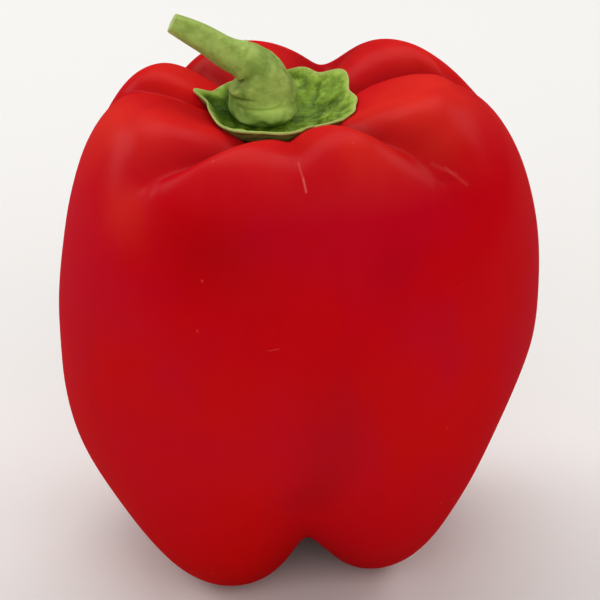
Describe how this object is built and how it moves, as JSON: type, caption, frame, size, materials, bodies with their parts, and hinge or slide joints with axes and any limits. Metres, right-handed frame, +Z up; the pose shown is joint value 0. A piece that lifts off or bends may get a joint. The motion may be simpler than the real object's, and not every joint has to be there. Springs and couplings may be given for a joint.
{
  "type": "bell pepper",
  "caption": "Whole red bell pepper standing on its lobed feet, with folded shoulders, a green dished calyx and a short bent cut stem.",
  "frame": {"origin": "middle of the bounding box at the level of the surface the pepper stands on", "axes": "+Z up through the stem end, -Y towards the front of the picture, +X to the right as seen from the front"},
  "size_m": [0.0898, 0.0866, 0.1044],
  "materials": {
    "fruit": "waxy gloss",
    "calyx": "satin, puckered",
    "stem": "satin, faintly ribbed"
  },
  "bodies": {
    "root": {"fruit": "fruit", "calyx": "calyx", "stem": "stem"}
  },
  "joints": []
}
